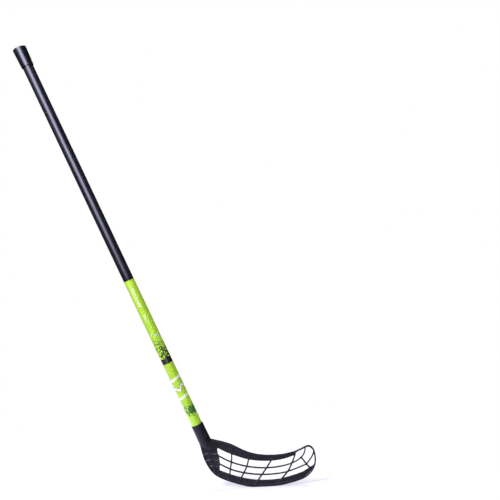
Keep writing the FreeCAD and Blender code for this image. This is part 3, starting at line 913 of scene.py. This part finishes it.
hosel_middle = (HOSEL_LOW + HOSEL_HIGH) / 2 * MM
off_middle = add(tree, MATH, {0: up_shaft, 1: hosel_middle}, operation="SUBTRACT")
height = add(tree, MATH, {0: off_middle}, operation="ABSOLUTE")
out_of_wall = beyond(tree, radius, taper, HOSEL_EDGE)
out_of_end = beyond(tree, height, (HOSEL_HIGH - HOSEL_LOW) * MM, HOSEL_EDGE)
hosel = rounded(tree, out_of_wall, out_of_end, HOSEL_EDGE)

sheet = add(tree, "GeometryNodeObjectInfo", {"Object": given.outputs["Neck"]})
near = add(tree, "GeometryNodeProximity", {"Geometry": sheet.outputs["Geometry"], "Sample Position": where},
           target_element="FACES")
swelling = add(tree, "ShaderNodeMapRange", {
    "Value": x, "From Min": NECK_ENDS[0], "From Max": NECK_ENDS[1], "To Min": NECK_RADII[0],
    "To Max": NECK_RADII[1]}, interpolation_type="SMOOTHSTEP")
neck = add(tree, MATH, {0: near.outputs["Distance"], 1: swelling}, operation="SUBTRACT")
total = add(tree, MATH, {0: total, 1: neck, 2: NECK_FILLET}, operation="SMOOTH_MIN")
total = add(tree, MATH, {0: total, 1: hosel, 2: HOSEL_FILLET}, operation="SMOOTH_MIN")
inside = add(tree, MATH, {0: total, 1: -1.0}, operation="MULTIPLY")
print("hosel from", round(HOSEL_LOW, 1), "to", round(HOSEL_HIGH, 1), "mm up the shaft")

# %% [markdown]
# The volume samples the rule on a fine grid and becomes a mesh, with larger faces where it is flat. Then
# the hook bends it: from the heel on, the blade follows one large arc towards the back, and its thickness
# stays square to that arc.

# %% Volume, hook and material
HOOK_START = -95 * MM
HOOK_RADIUS = 850 * MM
GRID_LOW = Vector((-160, -15.6, -2.4)) * MM
GRID_HIGH = Vector((126.6, 17, 153)) * MM
FLAT_JOINS = 0.04
counts = [math.ceil(size / VOXEL) for size in GRID_HIGH - GRID_LOW]
cloud = add(tree, "GeometryNodeVolumeCube", {
    "Density": inside, "Background": -1.0, "Min": GRID_LOW, "Max": GRID_HIGH,
    "Resolution X": counts[0], "Resolution Y": counts[1], "Resolution Z": counts[2]})
skin = add(tree, "GeometryNodeVolumeToMesh", {"Volume": cloud, "Threshold": 0.0, "Adaptivity": FLAT_JOINS})
run = add(tree, MATH, {0: x, 1: HOOK_START}, operation="SUBTRACT")
run = add(tree, MATH, {0: run, 1: 0.0}, operation="MAXIMUM")
sine = add(tree, MATH, {0: run, 1: HOOK_RADIUS}, operation="DIVIDE")
turn = add(tree, MATH, {0: sine}, operation="ARCSINE")
cosine = add(tree, MATH, {0: turn}, operation="COSINE")
square = add(tree, MATH, {0: y, 1: cosine}, operation="DIVIDE")
shifted = HOOK_RADIUS + shaft_foot.y
bow = add(tree, MATH, {0: cosine, 1: -HOOK_RADIUS, 2: shifted}, operation="MULTIPLY_ADD")
bent = add(tree, MATH, {0: square, 1: bow}, operation="ADD")
hooked = add(tree, "ShaderNodeCombineXYZ", {"X": x, "Y": bent, "Z": z})
moved = add(tree, "GeometryNodeSetPosition", {"Geometry": skin, "Position": hooked})
close_tree(tree, moved)
blade = shaped(new_object("moulded_blade", bpy.data.meshes.new("moulded_blade")), tree, values)
for value in list(values.values()):
    if isinstance(value, bpy.types.Object):
        bpy.data.objects.remove(value)
print("grid", counts, "blade", len(blade.data.polygons), "faces")

# %% [markdown]
# Last come the cuts, crisp because they are not moulded soft: the flat sole where the stick stands on the
# floor, the socket for the shaft, and for each screw a hole and a seat for its head in the pad on the back.

# %% Cut the sole, the socket and the screw seats
SOCKET_CLEARANCE = 0.1 * MM
SEAT_RADIUS = 3.75 * MM
SOLE_CUT = (400 * MM, 100 * MM, 10 * MM)
PAST_RIM = 5
axes = (Vector((1, 0, 0)), BACK_WAY, Vector((0, 0, 1)))
socket_radius = film_radius + SOCKET_CLEARANCE
above_rim = (HOSEL_HIGH + PAST_RIM) * MM
cutters = [bar("sole_cut", Vector((0, 0, -SOLE_CUT[2] / 2)), axes, SOLE_CUT)]
cutters.append(turned("socket", [
    (0, tube_low, 0), (socket_radius, tube_low, 0), (socket_radius, above_rim, 0), (0, above_rim, 0)]))
for node, tip in screw_tips.items():
    cutters.append(turned(node + "_seat", [
        (0, SCREW_LENGTH, 0), (SEAT_RADIUS, SCREW_LENGTH, 0), (SEAT_RADIUS, HOLE_LENGTH, 0),
        (0, HOLE_LENGTH, 0)], foot=tip, way=BACK_WAY, segments=SCREW_SEGMENTS))
combined(blade, cutters, "DIFFERENCE")
drilled(blade)
on_body(blade, poly, "stick", "blade")

# %% [markdown]
# ## Stage, lights and camera
# The stick stands on a white floor that fades into a white background. Black plastic shows little but
# reflections, so the floor glows more on the left, where the socket and the edges mirror it, and less under
# the blade. The camera sees it evenly white.

# %% White floor and background
FLOOR = 6.0
FADE = (0.3, 0.7)
LEFT_GLOW = (-0.3, 1.8)
BLADE_GLOW = (-0.12, 0.35)
CAMERA_GLOW = 0.57
STUDIO_LIGHT = 0.08


def rectangle(name, width, height, material):
    """A flat sheet round the origin whose material's glow is not sampled as a light."""
    corners = [(x * width / 2, y * height / 2, 0) for x, y in ((-1, -1), (1, -1), (1, 1), (-1, 1))]
    data = bpy.data.meshes.new(name)
    data.from_pydata(corners, [], [(0, 1, 2, 3)])
    data.materials.append(material)
    material.cycles.emission_sampling = "NONE"
    made = new_object(name, data)
    return made


paper, tree, shader = new_material("white_paper_sweep")
shader.inputs["Base Color"].default_value = linear("#B0B0AC")
shader.inputs["Roughness"].default_value = 0.9
shader.inputs["Specular IOR Level"].default_value = 0.0
shader.inputs["Emission Color"].default_value = linear("#E8E6FF")
place = add(tree, "ShaderNodeTexCoord").outputs["Object"]
side = add(tree, "ShaderNodeSeparateXYZ", {0: place}).outputs["X"]
glow = add(tree, "ShaderNodeMapRange", {
    "Value": side, "From Min": LEFT_GLOW[0], "From Max": BLADE_GLOW[0], "To Min": LEFT_GLOW[1],
    "To Max": BLADE_GLOW[1]})
path = add(tree, "ShaderNodeLightPath")
add(tree, "ShaderNodeMix", {0: path.outputs["Is Camera Ray"], 2: glow, 3: CAMERA_GLOW},
    to=shader.inputs["Emission Strength"])
distance = add(tree, VECTOR_MATH, {0: place}, operation="LENGTH").outputs["Value"]
add(tree, "ShaderNodeMapRange", {
    "Value": distance, "From Min": FADE[0], "From Max": FADE[1], "To Min": 1.0, "To Max": 0.0},
    to=shader.inputs["Alpha"])
rectangle("white_floor", FLOOR, FLOOR, paper)

world = bpy.data.worlds.new("white_studio")
world.use_nodes = True
bpy.context.scene.world = world
tree = world.node_tree
background = tree.nodes["Background"]
path = add(tree, "ShaderNodeLightPath")
add(tree, "ShaderNodeMapRange", {"Value": path.outputs["Is Camera Ray"], "To Min": STUDIO_LIGHT},
    to=background.inputs["Strength"])
background.inputs["Color"].default_value = linear("#FFFFFF")
print("floor", FLOOR, "m wide, faded out at", FADE[1], "m")

# %% [markdown]
# The wide highlight on the sleeve is the mirror image of a large panel. A glowing panel in front of the shaft
# leans with it, brightest along its middle line, so that the highlight has soft edges. It hangs high, so the
# highlight fades down the shaft. It shows in reflections only, and that highlight alone sets its strength.
# A weaker one behind does the same for the back.

# %% Panels for the reflections
def facing(made, place, target, up):
    """Puts an object at a place, with its Z axis pointing away from a target and its Y axis upward."""
    back = (Vector(place) - Vector(target)).normalized()
    side = Vector(up).cross(back).normalized()
    made.location = place
    made.rotation_euler = Matrix((side, back.cross(side), back)).transposed().to_euler()


def glowing_panel(name, place, target, size, strength):
    """A panel that leans with the shaft, faces a point and shows in reflections only."""
    material, tree, shader = new_material(name + "_glow")
    shader.inputs["Base Color"].default_value = linear("#000000")
    shader.inputs["Emission Color"].default_value = linear("#FFFFFF")
    on_panel = add(tree, "ShaderNodeTexCoord").outputs["Object"]
    side = add(tree, "ShaderNodeSeparateXYZ", {0: on_panel}).outputs["X"]
    off_middle = add(tree, MATH, {0: side}, operation="ABSOLUTE")
    add(tree, "ShaderNodeMapRange", {
        "Value": off_middle, "From Max": size[0] / 2, "To Min": strength, "To Max": 0.0},
        to=shader.inputs["Emission Strength"])
    panel = rectangle(name, *size, material)
    facing(panel, place, target, shaft_way)
    panel.visible_camera = False
    panel.visible_diffuse = False
    panel.visible_shadow = False
    print(name, "of", size, "m")


PANEL_AWAY = BACK_WAY * 2
upper_shaft = shaft_foot + shaft_way * 0.88
before_shaft = shaft_foot + shaft_way * 1.5 - PANEL_AWAY
behind_shaft = shaft_foot + shaft_way * 1.1 + PANEL_AWAY
glowing_panel("front_panel", before_shaft, upper_shaft, (2.6, 1.6), 23)
glowing_panel("rear_panel", behind_shaft, upper_shaft, (0.8, 1.4), 9)

# %% [markdown]
# Three softboxes give the rest of the light. A square one on the left lights the colours and throws the
# shadow to the right. One overhead and a weak one in front soften that shadow without showing in the gloss.

# %% Softboxes and camera
def softbox(name, place, target, up, size, watts, in_gloss):
    """A square light that faces a point, with its sides in an upward direction."""
    light = bpy.data.lights.new(name, "AREA")
    light.size = size
    light.energy = watts
    made = bpy.data.objects.new(name, light)
    facing(made, place, target, up)
    made.visible_glossy = in_gloss
    bpy.context.scene.collection.objects.link(made)


softbox("left_softbox", (-1.2, -0.75, 1.75), (0, 0, 0.25), (0, 0, 1), 0.8, 55, True)
softbox("overhead_softbox", (0.2, 1.0, 2.2), (0, 0, 0), BACK_WAY, 1.4, 40, False)
softbox("front_softbox", (-0.3, -1.8, 1.6), (-0.2, 0, 0.4), (0, 0, 1), 1.2, 15, False)

LENS = 50.4
SENSOR = 36
CAMERA_PLACE = (-0.0259, -1.5475, 0.6144)
CAMERA_PITCH = math.radians(87)
camera_data = bpy.data.cameras.new("camera")
camera_data.lens = LENS
camera_data.sensor_width = SENSOR
camera = bpy.data.objects.new("camera", camera_data)
camera.location = CAMERA_PLACE
camera.rotation_euler = (CAMERA_PITCH, 0, 0)
bpy.context.scene.collection.objects.link(camera)
bpy.context.scene.camera = camera
bpy.context.scene.view_settings.view_transform = "Standard"
print("camera at", tuple(camera.location))
